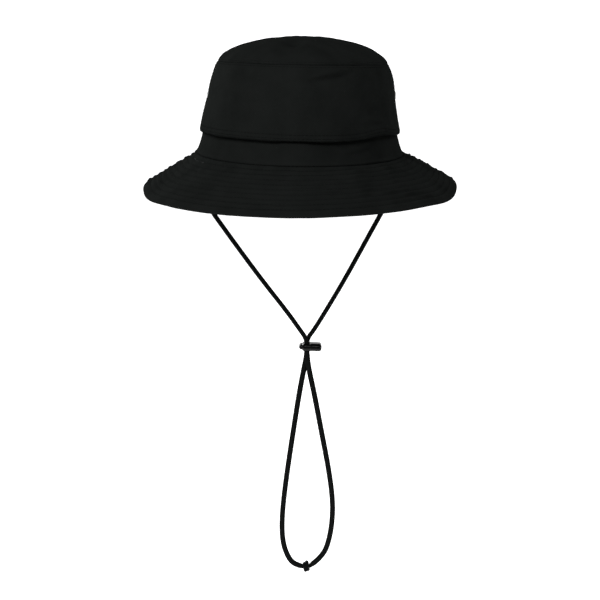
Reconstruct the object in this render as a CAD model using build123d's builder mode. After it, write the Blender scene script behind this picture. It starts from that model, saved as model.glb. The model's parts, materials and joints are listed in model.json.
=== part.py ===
from build123d import *
from math import asin, atan2, cos, degrees, hypot, pi, radians, sin, tan
import os

# Bucket hat with an overhanging crown wall, a stitched brim and a chin cord with a lock.
# Origin: centre of the head opening, in the plane of the seam between crown and brim.
# +Z is up, the hat's front faces -Y, and +X is the wearer's left. Millimetres.

os.makedirs("parts", exist_ok=True)

# ---- driving dimensions ----
HEAD_HALF_WIDTH = 86.5        # outside of the crown at the brim seam, at the side
OVAL = 1.17                   # front-to-back over side-to-side
CLOTH = 0.6                   # one layer of the shell fabric
GAP = 0.2                     # air left between neighbouring layers

BAND_KNEE = (81.0, 17.0)      # side half-width and height where the lower band stands up
BAND_TOP = (79.3, 30.0)

FLAP_EDGE = (83.4, 18.0)      # lowest line of the crown wall, which hangs free
HEM_HEIGHT = 10.0
WALL_SHOULDER = (77.2, 48.0)  # where the wall starts to curve in
TIP_SEAM = (70.1, 74.0)

TIP_CENTRE_HEIGHT = 68.0      # centre of the tip's elliptical section
TIP_HALF_WIDTH = 72.0
TIP_RISE = 26.6

MESH_THICKNESS = 0.4
MESH_BOTTOM = (78.5, 26.3)
MESH_TOP = (77.0, 43.0)

SWEATBAND_THICKNESS = 0.9
SWEATBAND_BOTTOM = (85.3, 0.5)
SWEATBAND_KNEE = (79.9, 17.5)
SWEATBAND_TOP = (77.9, 26.0)

TAPE_THICKNESS = 0.5
TIP_TAPE_HEIGHT = 8.0
TIP_TAPE_DROP = 1.0           # its top edge lies this far below the tip seam
TIP_TAPE_SPREAD = 2.3         # its lower edge is this much further out
SIDE_TAPE_WIDTH = 12.0
SIDE_TAPE_BOTTOM = 44.0
SIDE_TAPE_TOP = 63.0

BRIM_REACH = 45.3             # seam to edge, measured level
BRIM_DROP = 28.6
BRIM_PLY = 0.5
BRIM_INTERLINING = 0.9
BRIM_EDGE_TURNING = 2.2       # height left clear of interlining at the edge

EYELET_HEIGHT = 48.5
EYELET_SPACING = 33.0         # front one to back one, on each side
EYELET_HOLE_RADIUS = 2.0
EYELET_BARREL_RADIUS = 2.5
EYELET_FLANGE_RADIUS = 3.8
EYELET_FLANGE = 0.6
EYELET_RIM_ROUND = 0.24
WASHER_THICKNESS = 0.4

CORD_DIAMETER = 3.8
CORD_PITCH = 3.9              # the two cords lie side by side in the lock
CORNER_SHARE = 0.45           # how much of the shorter run an arc takes up
TAB_X = 84.0
TAB_WIDTH = 7.0
TAB_THICKNESS = 4.9
TAB_PIVOT_HEIGHT = -6.5
TAB_LENGTH = 11.5             # pivot to lower end

LOCK_HOLE = (6.15, 0.0, -171.6)
LOCK_TILT = 2.0               # degrees, closed end lower
BARREL_MOUTH = -4.2           # along the barrel, from the cord hole's axis
BARREL_END = 13.0
BARREL_DEPTH = 11.4
BARREL_HEIGHT = 6.9
BARREL_WALL = 1.05
BARREL_LIP = (0.85, 0.95)     # chamfer round the mouth, and along the barrel
BARREL_ROUND = 2.4            # outside of the closed end
COLLAR_HALF_LENGTH = 2.9
COLLAR_DEPTH = 12.0
COLLAR_HEIGHT = 7.5
COLLAR_CHAMFER = 0.29
HOLE_LENGTH = 7.9             # front to back, for two cords
HOLE_WIDTH = 4.1
SLIDE_GAP = 0.1
PLUNGER_TIP = -7.05
PLUNGER_TIP_DEPTH = 7.4
PLUNGER_TIP_HEIGHT = 4.4
PLUNGER_TIP_ROUND = 2.0
PLUNGER_TRAVEL = 2.5
SPRING_SEAT = 4.6
SPRING_RADIUS = 1.85
SPRING_WIRE = 0.5
SPRING_TURNS = 5

KNOT_CENTRE = (5.8, 0.0, -388.3)
KNOT_HALF_WIDTH = 3.2
KNOT_HALF_HEIGHT = 4.5
KNOT_DEPTH_RATIO = 1.1

CORD_SIDE = CORD_PITCH / 2

# Each cord's route as its corner points. A leg runs from a side tab to the lock,
# and a loop half from the lock to the knot. The front cord crosses over below the lock.
CHIN_CORD_RIGHT_ROUTE = [
    (-TAB_X, 0.0, -9.0),
    (-TAB_X, 0.0, -38.0),
    (-60.0, 0.0, -73.2),
    (-33.5, -0.3, -110.5),
    (-11.7, -0.8, -139.0),
    (-0.2, -1.4, -155.5),
    (LOCK_HOLE[0], -CORD_SIDE, -164.8),
    (LOCK_HOLE[0], -CORD_SIDE, LOCK_HOLE[2]),
]
CHIN_CORD_LEFT_ROUTE = [
    (TAB_X, 0.0, -9.0),
    (TAB_X, 0.0, -25.5),
    (75.4, 0.0, -41.0),
    (58.8, 0.0, -72.5),
    (38.0, 0.3, -112.4),
    (22.3, 0.8, -139.8),
    (12.6, 1.4, -156.4),
    (LOCK_HOLE[0], CORD_SIDE, -165.2),
    (LOCK_HOLE[0], CORD_SIDE, LOCK_HOLE[2]),
]
LOOP_CORD_LEFT_ROUTE = [
    (LOCK_HOLE[0], -CORD_SIDE, LOCK_HOLE[2]),
    (LOCK_HOLE[0], -CORD_SIDE, -180.0),
    (8.0, -1.6, -193.0),
    (12.7, -1.2, -215.0),
    (19.5, -0.8, -252.5),
    (27.0, -0.4, -293.0),
    (30.8, -0.2, -326.0),
    (28.6, 0.0, -356.0),
    (21.5, 0.0, -379.0),
    (8.5, 0.0, -388.3),
]
LOOP_CORD_RIGHT_ROUTE = [
    (LOCK_HOLE[0], CORD_SIDE, LOCK_HOLE[2]),
    (LOCK_HOLE[0], CORD_SIDE, -180.0),
    (3.5, 1.6, -193.0),
    (-0.7, 1.2, -216.0),
    (-6.8, 0.8, -257.0),
    (-13.3, 0.4, -303.0),
    (-16.9, 0.2, -338.0),
    (-16.4, 0.0, -363.0),
    (-10.8, 0.0, -380.0),
    (-4.0, 0.0, -387.0),
    (4.5, 0.0, -388.8),
]

SIDES = {"left": 1, "right": -1}
HALVES = {"front": Keep.BOTTOM, "back": Keep.TOP}
CUT_PLANE = Plane.ZX          # its upper side is the back of the hat


# ---- shapes used by several pieces ----
def inward(point, distance):
    """Move an outline point level towards the head's axis."""
    return (point[0] - distance, point[1])


def along(low, high, height):
    """Point at a height on the straight line between two outline points."""
    share = (height - low[1]) / (high[1] - low[1])
    return (low[0] + share * (high[0] - low[0]), height)


def oval_band(outer, thickness):
    """Turn a strip that lies inside an outer outline about Z, and stretch it to the head's oval."""
    inner = [inward(point, thickness) for point in reversed(outer)]
    with BuildPart() as band:
        with BuildSketch(Plane.XZ):
            with BuildLine():
                Polyline(*outer, *inner, close=True)
            make_face()
        revolve(axis=Axis.Z)
        scale(by=(1, OVAL, 1))
    return band.part


def brim_layer(depth, thickness, edge_height):
    """Conical layer of the brim, a given depth below its upper face, from the seam to a height."""
    slope = sin(atan2(BRIM_DROP, BRIM_REACH))
    upper = depth / slope
    lower = (depth + thickness) / slope
    reach = BRIM_REACH * edge_height / -BRIM_DROP
    with BuildPart() as layer:
        for inset, mode in ((upper, Mode.ADD), (lower, Mode.SUBTRACT)):
            for height, grown in ((0, 0), (edge_height, reach)):
                with BuildSketch(Plane.XY.offset(height)):
                    Ellipse(HEAD_HALF_WIDTH + grown - inset, HEAD_HALF_WIDTH * OVAL + grown - inset)
            loft(ruled=True, mode=mode)
    return layer.part


def eyelet_planes():
    """Plane on the wall's outer face at each eyelet, facing out."""
    half_width, height = along(FLAP_EDGE, WALL_SHOULDER, EYELET_HEIGHT)
    half_depth = half_width * OVAL
    lean = (FLAP_EDGE[0] - WALL_SHOULDER[0]) / (WALL_SHOULDER[1] - FLAP_EDGE[1])
    planes = []
    for side in SIDES.values():
        for y in (-EYELET_SPACING / 2, EYELET_SPACING / 2):
            x = half_width * cos(asin(y / half_depth))
            normal = Vector(side * x / half_width**2, y / half_depth**2, lean / half_width)
            planes.append(Plane(origin=(side * x, y, height), x_dir=(0, 0, 1), z_dir=normal))
    return planes


def corner_radii(route):
    """Arc at each corner: a share of the shorter run beside it, over the tangent of half the turn."""
    points = [Vector(*point) for point in route]
    radii = []
    for before, corner, after in zip(points, points[1:], points[2:]):
        turn = (corner - before).get_angle(after - corner)
        shorter = min((corner - before).length, (after - corner).length)
        radii.append(CORNER_SHARE * shorter / tan(radians(turn / 2)))
    return radii


def cord_tube(route):
    """Round tube along straight runs joined by tangent arcs."""
    with BuildPart() as tube:
        with BuildLine() as path:
            FilletPolyline(*route, radius=corner_radii(route))
        with BuildSketch(Plane(origin=path.line @ 0, z_dir=path.line % 0)):
            Circle(CORD_DIAMETER / 2)
        sweep()
    return tube.part, path.wire().length


def barrel_plane(distance):
    """Plane square to the lock's barrel, at a distance from the cord hole's axis."""
    origin = lock_plane.from_local_coords(Vector(distance, 0, 0))
    return Plane(origin=origin, x_dir=(0, 1, 0), z_dir=lock_plane.x_dir)


# ---- crown ----
with BuildPart() as crown_tip:
    with BuildSketch(Plane.XZ):
        with BuildLine():
            centre = (0, TIP_CENTRE_HEIGHT)
            start = degrees(asin((TIP_SEAM[1] - TIP_CENTRE_HEIGHT) / TIP_RISE))
            outside = EllipticalCenterArc(centre, TIP_HALF_WIDTH, TIP_RISE, start, arc_size=90 - start)
            inside_size = (TIP_HALF_WIDTH - CLOTH, TIP_RISE - CLOTH)
            inside = EllipticalCenterArc(centre, *inside_size, start, arc_size=90 - start)
            Line(outside @ 0, inside @ 0)
            Line(outside @ 1, inside @ 1)
        make_face()
    revolve(axis=Axis.Z)
    scale(by=(1, OVAL, 1))
crown_tip.part.label = "crown_tip"
export_step(crown_tip.part, "parts/crown_tip.step")

hem_top = along(FLAP_EDGE, WALL_SHOULDER, FLAP_EDGE[1] + HEM_HEIGHT)
wall_top = (TIP_SEAM[0], TIP_SEAM[1] - GAP)
with BuildPart() as crown_wall:
    with BuildSketch(Plane.XZ):
        with BuildLine():
            flank = Line(FLAP_EDGE, WALL_SHOULDER)
            TangentArc(WALL_SHOULDER, wall_top, tangent=flank % 1)
            Line(wall_top, inward(wall_top, CLOTH))
            TangentArc(inward(WALL_SHOULDER, CLOTH), inward(wall_top, CLOTH), tangent=flank % 1)
            Polyline(
                inward(WALL_SHOULDER, CLOTH),
                inward(hem_top, CLOTH),
                inward(hem_top, 2 * CLOTH),
                inward(FLAP_EDGE, 2 * CLOTH),
                FLAP_EDGE,
            )
        make_face()
    revolve(axis=Axis.Z)
    scale(by=(1, OVAL, 1))
    with BuildSketch(*eyelet_planes()):
        Circle(EYELET_BARREL_RADIUS + SLIDE_GAP)
    extrude(amount=2 * CLOTH, both=True, mode=Mode.SUBTRACT)

lower_band = oval_band([(HEAD_HALF_WIDTH, GAP), BAND_KNEE, BAND_TOP], CLOTH)

for end, keep in HALVES.items():
    with BuildPart() as wall_panel:
        add(crown_wall.part)
        split(bisect_by=CUT_PLANE, keep=keep)
    wall_panel.part.label = f"crown_wall_{end}"
    export_step(wall_panel.part, f"parts/crown_wall_{end}.step")

    with BuildPart() as band_panel:
        add(lower_band)
        split(bisect_by=CUT_PLANE, keep=keep)
    band_panel.part.label = f"lower_band_{end}"
    export_step(band_panel.part, f"parts/lower_band_{end}.step")

# ---- pieces inside the crown ----
with BuildPart() as vent_mesh:
    add(oval_band([MESH_BOTTOM, MESH_TOP], MESH_THICKNESS))
vent_mesh.part.label = "vent_mesh"
export_step(vent_mesh.part, "parts/vent_mesh.step")

with BuildPart() as sweatband:
    add(oval_band([SWEATBAND_BOTTOM, SWEATBAND_KNEE, SWEATBAND_TOP], SWEATBAND_THICKNESS))
sweatband.part.label = "sweatband"
export_step(sweatband.part, "parts/sweatband.step")

tape_top = inward((TIP_SEAM[0], TIP_SEAM[1] - TIP_TAPE_DROP), CLOTH + GAP)
tape_bottom = (tape_top[0] + TIP_TAPE_SPREAD, tape_top[1] - TIP_TAPE_HEIGHT)
with BuildPart() as tip_seam_tape:
    add(oval_band([tape_bottom, tape_top], TAPE_THICKNESS))
tip_seam_tape.part.label = "tip_seam_tape"
export_step(tip_seam_tape.part, "parts/tip_seam_tape.step")

tape_low = along(FLAP_EDGE, WALL_SHOULDER, SIDE_TAPE_BOTTOM)
tape_high = along(WALL_SHOULDER, TIP_SEAM, SIDE_TAPE_TOP)
tape_line = [inward(point, CLOTH + GAP) for point in (tape_low, WALL_SHOULDER, tape_high)]
for name, side in SIDES.items():
    with BuildPart() as side_tape:
        add(oval_band(tape_line, TAPE_THICKNESS))
        with Locations((side * HEAD_HALF_WIDTH, 0, (SIDE_TAPE_BOTTOM + SIDE_TAPE_TOP) / 2)):
            Box(HEAD_HALF_WIDTH, SIDE_TAPE_WIDTH, HEAD_HALF_WIDTH, mode=Mode.INTERSECT)
    side_tape.part.label = f"side_seam_tape_{name}"
    export_step(side_tape.part, f"parts/side_seam_tape_{name}.step")

# ---- brim ----
skin_top = brim_layer(0, BRIM_PLY, -BRIM_DROP)
skin_under = brim_layer(BRIM_PLY + BRIM_INTERLINING, BRIM_PLY, -BRIM_DROP)
for end, keep in HALVES.items():
    for layer, whole in (("top", skin_top), ("under", skin_under)):
        with BuildPart() as brim_skin:
            add(whole)
            split(bisect_by=CUT_PLANE, keep=keep)
        brim_skin.part.label = f"brim_{layer}_{end}"
        export_step(brim_skin.part, f"parts/brim_{layer}_{end}.step")

with BuildPart() as brim_interlining:
    add(brim_layer(BRIM_PLY, BRIM_INTERLINING, -BRIM_DROP + BRIM_EDGE_TURNING))
brim_interlining.part.label = "brim_interlining"
export_step(brim_interlining.part, "parts/brim_interlining.step")

# ---- eyelets ----
with BuildPart() as vent_eyelets:
    with BuildSketch(*[plane.offset(SLIDE_GAP) for plane in eyelet_planes()]):
        Circle(EYELET_FLANGE_RADIUS)
        Circle(EYELET_HOLE_RADIUS, mode=Mode.SUBTRACT)
    extrude(amount=EYELET_FLANGE)
    with BuildSketch(*[plane.offset(SLIDE_GAP) for plane in eyelet_planes()]):
        Circle(EYELET_BARREL_RADIUS)
        Circle(EYELET_HOLE_RADIUS, mode=Mode.SUBTRACT)
    extrude(amount=-(CLOTH + 2 * SLIDE_GAP + WASHER_THICKNESS))
    circles = vent_eyelets.edges().filter_by(GeomType.CIRCLE)
    rims = circles.filter_by(lambda edge: edge.radius > EYELET_FLANGE_RADIUS - SLIDE_GAP)
    fillet(rims, radius=EYELET_RIM_ROUND)
vent_eyelets.part.label = "vent_eyelets"
export_step(vent_eyelets.part, "parts/vent_eyelets.step")

with BuildPart() as eyelet_washers:
    with BuildSketch(*[plane.offset(-CLOTH - SLIDE_GAP) for plane in eyelet_planes()]):
        Circle(EYELET_FLANGE_RADIUS)
        Circle(EYELET_BARREL_RADIUS + SLIDE_GAP / 2, mode=Mode.SUBTRACT)
    extrude(amount=-WASHER_THICKNESS)
eyelet_washers.part.label = "eyelet_washers"
export_step(eyelet_washers.part, "parts/eyelet_washers.step")

# ---- chin cord, its tabs and its knot ----
cords = {}
routes = {
    "chin_cord_right": CHIN_CORD_RIGHT_ROUTE,
    "chin_cord_left": CHIN_CORD_LEFT_ROUTE,
    "loop_cord_left": LOOP_CORD_LEFT_ROUTE,
    "loop_cord_right": LOOP_CORD_RIGHT_ROUTE,
}
for name, route in routes.items():
    with BuildPart() as cord:
        tube, length = cord_tube(route)
        add(tube)
    cord.part.label = name
    export_step(cord.part, f"parts/{name}.step")
    cords[name] = cord.part
    expected = pi * (CORD_DIAMETER / 2) ** 2 * length
    runs = [hypot(*(b - a for a, b in zip(start, end))) for start, end in zip(route, route[1:])]
    print(name, "length", round(length, 1), "volume ratio", round(cord.part.volume / expected, 4))
    print("   radii", [round(radius) for radius in corner_radii(route)])
    print("   runs", [round(run, 1) for run in runs])

for name, side in SIDES.items():
    with BuildPart() as cord_tab:
        with BuildSketch(Plane.YZ.offset(side * TAB_X - TAB_THICKNESS / 2)):
            with Locations((0, TAB_PIVOT_HEIGHT)):
                Circle(TAB_WIDTH / 2)
            with Locations((0, TAB_PIVOT_HEIGHT - TAB_LENGTH / 2)):
                Rectangle(TAB_WIDTH, TAB_LENGTH)
        extrude(amount=TAB_THICKNESS)
        add(cords[f"chin_cord_{name}"], mode=Mode.SUBTRACT)
    cord_tab.part.label = f"cord_tab_{name}"
    export_step(cord_tab.part, f"parts/cord_tab_{name}.step")

with BuildPart() as knot_at_origin:
    with BuildSketch(Plane.XZ):
        Ellipse(KNOT_HALF_WIDTH, KNOT_HALF_HEIGHT)
        left_half = (Align.MAX, Align.CENTER)
        Rectangle(2 * KNOT_HALF_WIDTH, 2 * KNOT_HALF_HEIGHT, align=left_half, mode=Mode.SUBTRACT)
    revolve(axis=Axis.Z)
    scale(by=(1, KNOT_DEPTH_RATIO, 1))
with BuildPart() as cord_knot:
    with Locations(KNOT_CENTRE):
        add(knot_at_origin.part)
    add(cords["loop_cord_left"], mode=Mode.SUBTRACT)
    add(cords["loop_cord_right"], mode=Mode.SUBTRACT)
cord_knot.part.label = "cord_knot"
export_step(cord_knot.part, "parts/cord_knot.step")

# ---- cord lock ----
tilt = radians(LOCK_TILT)
lock_plane = Plane(origin=LOCK_HOLE, x_dir=(cos(tilt), 0, -sin(tilt)), z_dir=(sin(tilt), 0, cos(tilt)))
bore_depth = BARREL_DEPTH - 2 * BARREL_WALL
bore_height = BARREL_HEIGHT - 2 * BARREL_WALL
bore_end = BARREL_END - BARREL_WALL

with BuildPart() as cord_lock_body:
    with BuildSketch(barrel_plane(-COLLAR_HALF_LENGTH)):
        SlotOverall(COLLAR_DEPTH, COLLAR_HEIGHT)
    extrude(amount=2 * COLLAR_HALF_LENGTH)
    chamfer(cord_lock_body.faces().sort_by(Axis.X)[0].edges(), length=COLLAR_CHAMFER)
    chamfer(cord_lock_body.faces().sort_by(Axis.X)[-1].edges(), length=COLLAR_CHAMFER)
    with BuildSketch(barrel_plane(BARREL_MOUTH)):
        SlotOverall(BARREL_DEPTH, BARREL_HEIGHT)
    extrude(amount=BARREL_END - BARREL_MOUTH)
    fillet(cord_lock_body.faces().sort_by(Axis.X)[-1].edges(), radius=BARREL_ROUND)
    chamfer(cord_lock_body.faces().sort_by(Axis.X)[0].edges(), length=BARREL_LIP[0], length2=BARREL_LIP[1])
    with BuildSketch(barrel_plane(BARREL_MOUTH)):
        SlotOverall(bore_depth, bore_height)
    extrude(amount=bore_end - BARREL_MOUTH, mode=Mode.SUBTRACT)
    with BuildSketch(lock_plane):
        SlotOverall(HOLE_LENGTH, HOLE_WIDTH, rotation=90)
    extrude(amount=COLLAR_HEIGHT, both=True, mode=Mode.SUBTRACT)
cord_lock_body.part.label = "cord_lock_body"
export_step(cord_lock_body.part, "parts/cord_lock_body.step")

slot_end = CORD_DIAMETER / 2 + 2 * SLIDE_GAP
slot_start = -slot_end - PLUNGER_TRAVEL - GAP
with BuildPart() as cord_lock_plunger:
    with BuildSketch(barrel_plane(slot_start)):
        SlotOverall(bore_depth - 2 * SLIDE_GAP, bore_height - 2 * SLIDE_GAP)
    extrude(amount=SPRING_SEAT - slot_start)
    with BuildSketch(barrel_plane(slot_start)):
        SlotOverall(bore_depth - 2 * SLIDE_GAP, bore_height - 2 * SLIDE_GAP)
    with BuildSketch(barrel_plane(PLUNGER_TIP)):
        SlotOverall(PLUNGER_TIP_DEPTH, PLUNGER_TIP_HEIGHT)
    loft()
    fillet(cord_lock_plunger.faces().sort_by(Axis.X)[0].edges(), radius=PLUNGER_TIP_ROUND)
    slot_centre = lock_plane.from_local_coords(Vector((slot_start + slot_end) / 2, 0, 0))
    slot_plane = Plane(origin=slot_centre, x_dir=lock_plane.x_dir, z_dir=lock_plane.z_dir)
    with BuildSketch(slot_plane):
        RectangleRounded(slot_end - slot_start, HOLE_LENGTH, radius=CORD_DIAMETER / 2)
    extrude(amount=COLLAR_HEIGHT, both=True, mode=Mode.SUBTRACT)
cord_lock_plunger.part.label = "cord_lock_plunger"
export_step(cord_lock_plunger.part, "parts/cord_lock_plunger.step")

spring_room = bore_end - SPRING_SEAT - SPRING_WIRE - 2 * SLIDE_GAP
spring_start = barrel_plane(SPRING_SEAT + SPRING_WIRE / 2 + SLIDE_GAP)
with BuildPart() as cord_lock_spring:
    with BuildLine() as coil:
        Helix(
            pitch=spring_room / SPRING_TURNS,
            height=spring_room,
            radius=SPRING_RADIUS,
            center=spring_start.origin,
            direction=spring_start.z_dir,
        )
    with BuildSketch(Plane(origin=coil.line @ 0, z_dir=coil.line % 0)):
        Circle(SPRING_WIRE / 2)
    sweep()
cord_lock_spring.part.label = "cord_lock_spring"
export_step(cord_lock_spring.part, "parts/cord_lock_spring.step")
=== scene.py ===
import json
import math

import bmesh
import bpy
import numpy as np
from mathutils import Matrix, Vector


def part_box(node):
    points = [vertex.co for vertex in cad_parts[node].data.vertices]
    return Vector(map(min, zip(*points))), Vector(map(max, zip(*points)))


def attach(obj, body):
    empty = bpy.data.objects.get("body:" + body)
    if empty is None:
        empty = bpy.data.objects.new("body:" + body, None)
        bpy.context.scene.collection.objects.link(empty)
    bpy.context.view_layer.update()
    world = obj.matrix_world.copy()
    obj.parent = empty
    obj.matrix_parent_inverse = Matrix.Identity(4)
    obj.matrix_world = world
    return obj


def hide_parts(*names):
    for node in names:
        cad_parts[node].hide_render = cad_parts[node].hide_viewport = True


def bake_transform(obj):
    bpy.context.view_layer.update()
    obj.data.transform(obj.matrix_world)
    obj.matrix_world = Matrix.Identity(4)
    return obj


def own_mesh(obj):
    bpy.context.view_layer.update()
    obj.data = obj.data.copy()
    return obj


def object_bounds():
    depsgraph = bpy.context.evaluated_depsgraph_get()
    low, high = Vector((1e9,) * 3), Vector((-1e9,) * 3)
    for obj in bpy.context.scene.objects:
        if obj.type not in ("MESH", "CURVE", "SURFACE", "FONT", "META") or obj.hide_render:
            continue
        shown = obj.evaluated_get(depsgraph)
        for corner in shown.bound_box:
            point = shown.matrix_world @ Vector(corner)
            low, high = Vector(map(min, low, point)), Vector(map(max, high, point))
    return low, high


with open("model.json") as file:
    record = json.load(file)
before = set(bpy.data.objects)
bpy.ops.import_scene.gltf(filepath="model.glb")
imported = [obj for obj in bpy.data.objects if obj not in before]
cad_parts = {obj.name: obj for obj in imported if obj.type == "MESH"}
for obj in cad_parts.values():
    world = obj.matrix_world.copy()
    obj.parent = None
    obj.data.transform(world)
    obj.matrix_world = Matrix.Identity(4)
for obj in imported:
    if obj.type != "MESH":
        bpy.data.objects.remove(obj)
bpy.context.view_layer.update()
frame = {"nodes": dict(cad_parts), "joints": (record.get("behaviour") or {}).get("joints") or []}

# A black woven bucket hat with an overhanging crown wall, a row-stitched brim and a braided
# chin cord that runs through a sprung barrel lock. Metres, +Z up, the hat's front faces -Y.

scene = bpy.context.scene
MM = 0.001

# ---- sizes taken from the frame ----
tip_low, tip_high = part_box("crown_tip")
wall_low, wall_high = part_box("crown_wall_front")
band_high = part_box("lower_band_front")[1]
brim_low, brim_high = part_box("brim_top_front")
knot_low, knot_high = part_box("cord_knot")
tab_low, tab_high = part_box("cord_tab_left")

SEAM_HALF_WIDTH = band_high.x
OVAL = -wall_low.y / wall_high.x
FLAP_HALF_WIDTH, FLAP_EDGE = wall_high.x, wall_low.z
TIP_HALF_WIDTH, TIP_SEAM = tip_high.x, tip_low.z
CROWN_TOP = tip_high.z
BRIM_HALF_WIDTH, BRIM_EDGE = brim_high.x, brim_low.z
TAB_X = (tab_low.x + tab_high.x) / 2
TAB_PIVOT = frame["joints"][0]["pos_m"][2]

# ---- camera: standing well back, at the height of the crown's top, looking down at the lock ----
CAMERA_DISTANCE = 0.85
CAMERA_PITCH = 14.81
CAMERA_LENS = 60.26
camera_data = bpy.data.cameras.new("camera")
camera_data.lens = CAMERA_LENS
camera_data.sensor_width = 36
camera = bpy.data.objects.new("camera", camera_data)
camera.location = (0, -CAMERA_DISTANCE, CROWN_TOP + 1 * MM)
camera.rotation_euler = (math.radians(90 - CAMERA_PITCH), 0, 0)
scene.collection.objects.link(camera)
scene.camera = camera


# ---- small helpers ----
def smooth(value):
    """Ease from 0 to 1 as a value goes from 0 to 1."""
    value = np.clip(value, 0, 1)
    return value * value * (3 - 2 * value)


def hump(distance, width):
    """Bell curve of height 1 about zero."""
    return np.exp(-((distance / width) ** 2))


def rumple(across, up, seed, short, long, waves=14):
    """Soft random swell, about -1 to 1, made of waves between a short and a long length."""
    random = np.random.default_rng(seed)
    total = np.zeros(np.broadcast(across, up).shape)
    for _ in range(waves):
        length = math.exp(random.uniform(math.log(short), math.log(long)))
        way = random.uniform(0, math.tau)
        phase = random.uniform(0, math.tau)
        step = math.tau / length
        total = total + np.sin(step * (across * math.cos(way) + up * math.sin(way)) + phase)
    return total / math.sqrt(waves)


def add_object(name, mesh, material):
    """Put a finished mesh in the scene with its material."""
    piece = bpy.data.objects.new(name, mesh)
    scene.collection.objects.link(piece)
    mesh.materials.append(material)
    mesh.shade_smooth()
    return piece


def add_to_hat(mesh, material, node_name):
    """Put a finished mesh on the hat, where it stands in for a CAD piece."""
    piece = add_object(mesh.name, mesh, material)
    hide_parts(node_name)
    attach(piece, "hat")


def quads(rows, columns, closed=False):
    """Faces of a grid of points, rows by columns, closed round its columns or not."""
    row = np.arange(rows - 1)[:, None]
    column = np.arange(columns if closed else columns - 1)[None, :]
    after = (column + 1) % columns
    a = row * columns + column
    b = row * columns + after
    return np.stack([a, b, b + columns, a + columns], axis=-1).reshape(-1, 4)


def tube_faces(rings, sides):
    """Faces of a tube of rings, with a cap on each end."""
    faces = [list(face) for face in quads(rings, sides, closed=True)]
    faces.append(list(range(sides))[::-1])
    faces.append([(rings - 1) * sides + i for i in range(sides)])
    return faces


def mesh_from(name, points, faces, cloth=None):
    """Mesh of points and faces, with each point's place on the flat cloth in metres."""
    mesh = bpy.data.meshes.new(name)
    corners = [[int(corner) for corner in face] for face in faces]
    mesh.from_pydata(points.reshape(-1, 3).tolist(), [], corners)
    if cloth is not None:
        layer = mesh.attributes.new("cloth", "FLOAT_VECTOR", "POINT")
        layer.data.foreach_set("vector", cloth.reshape(-1).astype(np.float32))
    mesh.update()
    return mesh


# ---- the oval plan ----
plan_angles = np.linspace(0, math.tau, 4001)
plan_middles = (plan_angles[1:] + plan_angles[:-1]) / 2
plan_steps = np.hypot(np.sin(plan_middles), OVAL * np.cos(plan_middles)) * np.diff(plan_angles)
plan_lengths = np.concatenate([[0], np.cumsum(plan_steps)])


def oval_length(angle):
    """Length along the oval of unit half-width, from the wearer's left side to an angle."""
    return np.interp(angle, plan_angles, plan_lengths)


def oval_angles(start, end, count):
    """Angles that divide a stretch of the oval into equal lengths."""
    return np.interp(np.linspace(oval_length(start), oval_length(end), count), plan_lengths, plan_angles)


def crown_point(angle, half_width, height):
    """Point of a crown ring: each ring is the same oval, larger or smaller."""
    return np.stack([
        half_width * np.cos(angle), OVAL * half_width * np.sin(angle), height + 0 * angle
    ], axis=-1)


def brim_point(angle, half_width, height):
    """Point of a brim ring: the brim is as wide at the front as at the sides."""
    half_depth = half_width + SEAM_HALF_WIDTH * (OVAL - 1)
    return np.stack([
        half_width * np.cos(angle), half_depth * np.sin(angle), height + 0 * angle
    ], axis=-1)


def outline(points, spacing):
    """Evenly spaced points along an outline: (half-width, height) pairs and the length to each."""
    points = np.array(points, float)
    runs = np.hypot(*np.diff(points, axis=0).T)
    length = np.concatenate([[0], np.cumsum(runs)])
    count = max(3, int(round(length[-1] / spacing)) + 1)
    at = np.linspace(0, length[-1], count)
    return np.stack([np.interp(at, length, points[:, 0]), np.interp(at, length, points[:, 1])], 1), at


def bow(start, control, end, count=24):
    """Curved stretch of an outline from start to end, drawn towards a control point."""
    share = np.linspace(0, 1, count)[:, None]
    start, control, end = (np.array(p, float) for p in (start, control, end))
    return (1 - share) ** 2 * start + 2 * share * (1 - share) * control + share ** 2 * end


FRONT = (math.pi, math.tau)
BACK = (0.0, math.pi)


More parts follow.
